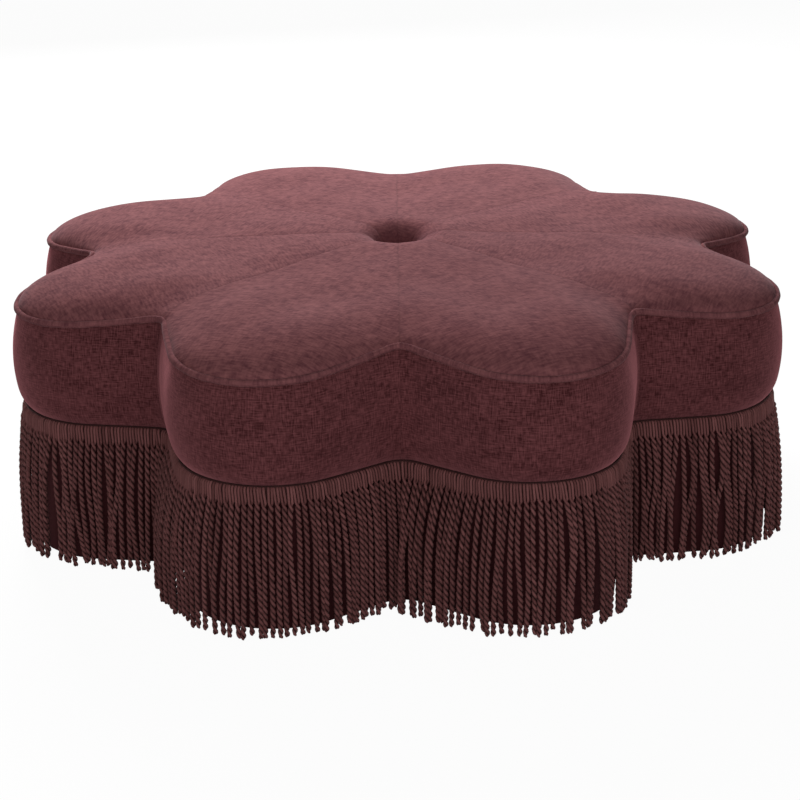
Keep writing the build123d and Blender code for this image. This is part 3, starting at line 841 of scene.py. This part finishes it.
# The twine: two plies that wind round each other, with a round knot at the lower end
TWINE_ROWS = 160
TWINE_SIDES = 8
TWINE_RADIUS = 0.0011
TWINE_RIDGE = 0.12
TWINE_LAY = 0.0012
KNOT_RADIUS = 0.0028
KNOT_HALF = 0.004
drop = np.linspace(0, 1, TWINE_ROWS)[:, None]
low, high = (corner[2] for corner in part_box("tufting_twine"))
height = high + (low - high) * drop
angle = np.linspace(0, 2 * np.pi, TWINE_SIDES, endpoint=False)
knot = KNOT_RADIUS * np.sqrt(np.clip(1 - ((height - low - KNOT_HALF) / KNOT_HALF) ** 2, 0, 1))
thick = TWINE_RADIUS * (1 + TWINE_RIDGE * np.cos(2 * (angle - height / TWINE_LAY))) + knot
points = lathe(thick, height, TWINE_SIDES)
twine = new_object("tuft_twine", points, capped_faces(TWINE_ROWS, TWINE_SIDES, upward=False))
place(twine, "cotton_cord", COTTON, "tufting_twine")


# Fringe

PLY_TURN = np.linspace(0, 2 * np.pi, PLY_SIDES, endpoint=False)


def ply_rings():
    """Share of the drop at each ring of a ply, below 0 in the heading, and how full its section is there.

    The rings are even along the twisted part, and close together where the loop at the top and the end are
    rounded.
    """
    loop = np.array([-1.0, -0.97, -0.92, -0.86, -0.78, -0.7, -0.3])
    twisted = np.linspace(0, CORD_BODY, CORD_RINGS)
    close = np.linspace(0, np.pi / 2, 5)[1:]
    share = np.concatenate([loop, twisted, CORD_BODY + (1 - CORD_BODY) * np.sin(close)])
    full = np.concatenate([[0.5], np.ones(len(loop) + CORD_RINGS - 1), 0.15 + 0.85 * np.cos(close)])
    return share, full


def wander(along, waves):
    """Slow drift along the fringe: a few sine waves of random phase, so that neighbours go together."""
    phase = chance.uniform(0, 2 * np.pi, len(waves))
    return sum(size * np.sin(2 * np.pi * along / wave + start) for (wave, size), start in zip(waves, phase))


def hanging(petal, down, up):
    """Where the middle of each of a petal's cords runs, as cord by ring, and how it is twisted.

    Each cord leans, bows, curls, flares outwards and ends a little differently. Gives the length along the
    outline, the offset, the height, the length fallen below the heading and the turn per metre.
    """
    along = ((np.arange(CORDS) + 0.5) / CORDS * 2 - 1) * HALF_OUTLINE
    stray = chance.random(CORDS) < STRAY_SHARE
    lean = wander(along, LEAN_WAVES) + chance.normal(0, LEAN_SPREAD, CORDS)
    lean = (lean + stray * chance.normal(0, STRAY_LEAN, CORDS)) * SWAY[petal]
    depth = wander(along, DEPTH_WAVES) + stray * STRAY_DEPTH - HANG_BACK * chance.random(CORDS) ** 2
    bow = chance.normal(0, BOW_SPREAD, CORDS) * SWAY[petal]
    curl = chance.normal(0, CURL_SPREAD, CORDS) * SWAY[petal]
    slant = chance.normal(SLANT, SLANT_SPREAD, CORDS)
    end = END_HEIGHT + np.minimum(np.abs(chance.normal(0, END_SPREAD, CORDS)), END_MOST)
    start = HEADING_BOTTOM + chance.uniform(-START_SPREAD, START_SPREAD, CORDS)
    rate = 2 * np.pi / CORD_TURN * chance.uniform(1 - TWIST_SPREAD, 1 + TWIST_SPREAD, CORDS)
    along, lean, depth, bow, curl, slant, end, start, rate = (
        value[:, None] for value in (along, lean, depth, bow, curl, slant, end, start, rate)
    )
    sway = lean * down**1.2 + bow * np.sin(np.pi * down) + curl * np.sin(2 * np.pi * down)
    at = np.clip(along + sway + slant * up, -HALF_OUTLINE, HALF_OUTLINE)
    roll = np.clip((up - HEADING_STRAIGHT) / (1 - HEADING_STRAIGHT), 0, 1) * np.pi / 2
    flare = FLARE[petal] + FLARE_SHIFT[petal] * along / HALF_OUTLINE
    fallen_away = HEADING_STEP * (1 - up) + flare * (1 - (1 - down) ** 3) + depth * down
    offset = HEADING_OFFSET + fallen_away - HEADING_ROLL * (1 - np.cos(roll))
    climbed = np.minimum(up, HEADING_STRAIGHT) + (1 - HEADING_STRAIGHT) * np.sin(roll)
    height = start + (end - start) * down + (HEADING_TOP - start) * climbed
    return at, offset, height, (start - end) * down, rate


def cord_points(petal):
    """Points of one petal's cords, as cord by ply by ring by side, with each point's UV and its painted
    shade.

    In the heading both plies lie side by side. Below it each is a tube along a helix about the cord's middle,
    with its section square to the helix, and towards the end the plies close up.
    """
    share, full = ply_rings()
    down = np.clip(share, 0, 1)
    at, offset, height, fallen, rate = hanging(petal, down, np.clip(-share, 0, 1))
    begun = np.clip(fallen / TWIST_START, 0, 1)
    yarn = (HEADING_YARN_RADIUS + (PLY_RADIUS - HEADING_YARN_RADIUS) * begun) * full
    apart = HALF_OUTLINE / CORDS / 2
    ending = np.clip((down - CLOSE_FROM) / (1 - CLOSE_FROM), 0, 1)
    apart = (apart + (PLY_CENTRE - apart) * begun) * (1 - CLOSE_SHARE * ending)
    lay = np.arctan(apart * rate) * begun
    x, y, normal = outline(at, offset)

    x, y, normal, height, yarn, apart, lay, begun = (
        value[:, None, :, None] for value in (x, y, normal, height, yarn, apart, lay, begun)
    )
    slack = chance.normal(0, PLY_SLACK, (CORDS, 2, 1, 1))
    swing = slack - (rate * fallen)[:, None, :, None] + np.pi * np.arange(2)[:, None, None]
    out = apart + yarn * np.cos(PLY_TURN)
    aside = yarn * np.sin(PLY_TURN)
    sideways = out * np.cos(swing) - aside * np.cos(lay) * np.sin(swing)
    outward = out * np.sin(swing) + aside * np.cos(lay) * np.cos(swing)
    px = x + outward * np.cos(normal) - sideways * np.sin(normal)
    py = y + outward * np.sin(normal) + sideways * np.cos(normal)
    at_x, at_y = around(px, py, petal)
    points = np.stack(np.broadcast_arrays(at_x, at_y, height - aside * np.sin(lay)), -1)
    inner = begun * np.clip((1 - np.cos(PLY_TURN)) / GROOVE_REACH, 0, 1) ** GROOVE_POWER
    groove = np.maximum(inner, np.clip(BACK_SHADE - outward / BACK_DEPTH, 0, 1))
    ply = np.stack(np.broadcast_arrays(PLY_TURN * PLY_RADIUS, height + at[:, None, :, None]), -1)
    return points, np.broadcast_to(ply, points.shape[:4] + (2,)), groove


def fringe_length(petal):
    """One petal's cords as one piece, every ply a closed tube."""
    points, ply, groove = cord_points(petal)
    rings = points.shape[2]
    tube = grid_faces(rings, PLY_SIDES, close_columns=True)[:, ::-1]
    first = (np.arange(2 * CORDS) * rings * PLY_SIDES)[:, None, None]
    walls = (tube + first).reshape(-1, 4)
    tops = np.arange(PLY_SIDES)[::-1] + first[:, 0]
    ends = np.arange(PLY_SIDES) + (rings - 1) * PLY_SIDES + first[:, 0]
    tone = np.clip(0.5 + chance.normal(0, 0.12, 2 * CORDS), 0.2, 0.8)
    fringe = new_object(
        f"bullion_fringe_{petal + 1}", points, walls.tolist() + tops.tolist() + ends.tolist(), ply,
        groove=groove.ravel(), cord=np.repeat(tone, rings * PLY_SIDES),
    )
    return place(fringe, "bullion_fringe", CORD_YARN, f"fringe_{petal + 1}")


fringes = [fringe_length(petal) for petal in range(PETALS)]

SHEET_COLUMNS = 40


def band_cloth(points):
    """UV of a band round the flower: the length along the outline and the height."""
    share, petal = whole_ring(SHEET_COLUMNS)
    length = (share + 2 * petal) * HALF_OUTLINE
    return np.stack([np.broadcast_to(length, points.shape[:2]), points[..., 2]], -1)


# The tape that carries the cords runs up behind the heading and in over the edge of the deck.
# Its profile is offset and height, up the front, in along the upper face and back along the lower one.
TAPE_FRONT = -0.0030
TAPE_BACK = -0.0062
TAPE_LAP = -0.0100
TAPE_INNER = -0.0150
TAPE_UPPER = DECK_TOP + 0.0007
TAPE_LOWER = DECK_TOP + 0.0003
TAPE_PROFILE = (
    (TAPE_BACK, HEADING_BOTTOM), (TAPE_FRONT, HEADING_BOTTOM), (TAPE_FRONT, HEADING_TOP - 0.0028),
    (-0.0045, DECK_TOP + 0.0005), (TAPE_LAP, TAPE_UPPER), (TAPE_INNER, TAPE_UPPER),
    (TAPE_INNER, TAPE_LOWER), (TAPE_LAP, TAPE_LOWER), (TAPE_BACK, DECK_TOP - 0.0030),
)
points = flower_rows([(offset, 1.0, height) for offset, height in TAPE_PROFILE], SHEET_COLUMNS)
faces = grid_faces(len(TAPE_PROFILE), PETALS * SHEET_COLUMNS, True, True)[:, ::-1]
# The tape is painted nearly as dark as the cords' grooves: painted shade behind the heading
tape = new_object("fringe_tape", points, faces, band_cloth(points), smooth=False, groove=0.85, cord=0.3)
place(tape, "bullion_fringe", CORD_YARN)


# Sheets

PLINTH_ROWS = 10
PLINTH_INSET = 0.0118
plinth_rows = [(-PLINTH_INSET, 1.0, height) for height in np.linspace(PLINTH_BOTTOM, PLINTH_TOP, PLINTH_ROWS)]
points = flower_rows(plinth_rows, SHEET_COLUMNS, turned)
faces = grid_faces(PLINTH_ROWS, PETALS * SHEET_COLUMNS, close_columns=True)[:, ::-1]
# The plinth cloth is painted at a tenth of its lightness: painted shade in the gaps between the cords
skirt = new_object("plinth_cloth", points, faces, band_cloth(points), seam=0.0, nap=0.1)
place(skirt, "chenille", SIDE_CLOTH_SHADED, "plinth_cover")
PLINTH_LENGTH = 2 * PETALS * HALF_OUTLINE - 2 * np.pi * PLINTH_INSET

# The dust cover sags a little over the open middle of the base ring, as a parabola
DUST_ROWS = 14
DUST_INSET = 0.022
DUST_SAG = 0.0035
DUST_SAG_REACH = 0.38
dust_scale = np.linspace(1, 0.02, DUST_ROWS)
dust_height = DUST_LEVEL - DUST_SAG * np.clip(1 - (dust_scale / DUST_SAG_REACH) ** 2, 0, 1)
dust_rows = [(-DUST_INSET, scale, height) for scale, height in zip(dust_scale, dust_height)]
points = flower_rows(dust_rows, SHEET_COLUMNS, turned)
faces = grid_faces(DUST_ROWS, PETALS * SHEET_COLUMNS, close_columns=True).tolist()
last_row = np.arange(PETALS * SHEET_COLUMNS) + (DUST_ROWS - 1) * PETALS * SHEET_COLUMNS
faces.append(last_row[::-1].tolist())
dust = new_object("underside_cloth", points, faces)
place(dust, "cambric", CAMBRIC, "dust_cover")
rim = points[0, :, :2]
rim_next = np.roll(rim, -1, axis=0)
DUST_AREA = abs((rim[:, 0] * rim_next[:, 1] - rim[:, 1] * rim_next[:, 0]).sum()) / 2


# Finishes of the rigid nodes

RIGID = {
    "seat_deck": PLYWOOD, "base_ring": PLYWOOD, "cross_rib_1": PLYWOOD, "cross_rib_2": PLYWOOD,
    "plinth_wall": HARDBOARD, "twine_toggle": SOFTWOOD, "floor_glides": NYLON, "button_mould": NYLON,
    "deck_screws": STEEL, "base_screws": STEEL, "dust_cover_staples": STEEL, "glide_nails": STEEL,
}
RIGID.update({f"frame_post_{number}": SOFTWOOD for number in range(1, PETALS + 1)})
for name, finish in RIGID.items():
    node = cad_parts[name]
    node.data.materials.clear()
    node.data.materials.append(finish)


# Floor, light and camera


def seen_directly(nodes):
    """1 for rays from the camera, from a reflection or through glass."""
    seen = nodes.node("LightPath", None, None, "Is Camera Ray")
    for ray in ("Is Glossy Ray", "Is Transmission Ray"):
        seen = nodes.math("MAXIMUM", seen, nodes.node("LightPath", None, None, ray))
    return seen


FLOOR_REACH = 9
FLOOR_GLOW = 1.03
FLOOR_GLOW_SHARE = 0.93


def white_floor():
    """A pale floor, white to the eye, that keeps the object's shadow and bounces a modest light."""
    material, nodes, shader = new_finish("pale_floor", Roughness=0.9, Specular_IOR_Level=0.0)
    seen = seen_directly(nodes)
    nodes.join(shader.inputs["Base Color"], nodes.blend(seen, rgb(0.42, 0.41, 0.41), rgb(0.95, 0.95, 0.95)))
    glow = nodes.node("Emission", None, {"Color": rgb(1, 1, 1), "Strength": FLOOR_GLOW})
    lit = Wire(nodes, shader.outputs[0])
    mixed = nodes.node("MixShader", None, {0: seen * FLOOR_GLOW_SHARE, 1: lit, 2: glow})
    nodes.join(material.node_tree.nodes["Material Output"].inputs["Surface"], mixed)
    return material


corners = [(x * FLOOR_REACH, y * FLOOR_REACH, 0) for x, y in ((-1, -1), (1, -1), (1, 1), (-1, 1))]
floor = new_object("floor", corners, [(0, 1, 2, 3)], smooth=False)
floor.data.materials.append(white_floor())

world = bpy.data.worlds.new("studio")
bpy.context.scene.world = world
world.use_nodes = True
sky = Nodes(world.node_tree)
backdrop = world.node_tree.nodes["Background"]
AMBIENT = rgb(0.15, 0.15, 0.15)
sky.join(backdrop.inputs["Color"], sky.blend(seen_directly(sky), AMBIENT, rgb(1, 1, 1)))


def softbox(name, spot, target, size, power):
    """A square lamp that faces a target."""
    lamp = bpy.data.lights.new(name, "AREA")
    lamp.size = size
    lamp.energy = power
    obj = bpy.data.objects.new(name, lamp)
    back = np.subtract(spot, target)
    obj.matrix_world = looking(spot, back / np.linalg.norm(back), 0.0)
    bpy.context.scene.collection.objects.link(obj)


def looking(eye, back, roll):
    """Place and turn of a camera or lamp whose rear points along back, rolled about that line."""
    right = np.cross((0, 0, 1), back)
    right = right / np.linalg.norm(right)
    up = np.cross(back, right)
    across = right * np.cos(roll) + up * np.sin(roll)
    upward = up * np.cos(roll) - right * np.sin(roll)
    turn = np.eye(4)
    turn[:3] = np.stack([across, upward, back, eye], 1)
    return Matrix(turn.tolist())


softbox("overhead", spot=(-0.6, 2.7, 1.75), target=(0, 0.1, 0.3), size=1.8, power=138.0)
softbox("front_fill", spot=(0.2, -4.0, 1.1), target=(0, 0, 0.2), size=2.0, power=37.0)

AZIMUTH = np.radians(-0.08)
ELEVATION = np.radians(19.45)
ROLL = np.radians(-0.76)
DISTANCE = 3.4002
TARGET = np.array((0, 0, 0.1313))
SENSOR_WIDTH = 36.0
FOCAL_LENGTH = 104.25
lens = bpy.data.cameras.new("camera")
lens.sensor_width = SENSOR_WIDTH
lens.lens = FOCAL_LENGTH
camera = bpy.data.objects.new("camera", lens)
back = np.array(
    (np.sin(AZIMUTH) * np.cos(ELEVATION), -np.cos(AZIMUTH) * np.cos(ELEVATION), np.sin(ELEVATION))
)
camera.matrix_world = looking(TARGET + back * DISTANCE, back, ROLL)
bpy.context.scene.collection.objects.link(camera)
bpy.context.scene.camera = camera
bpy.context.scene.view_settings.view_transform = "Standard"
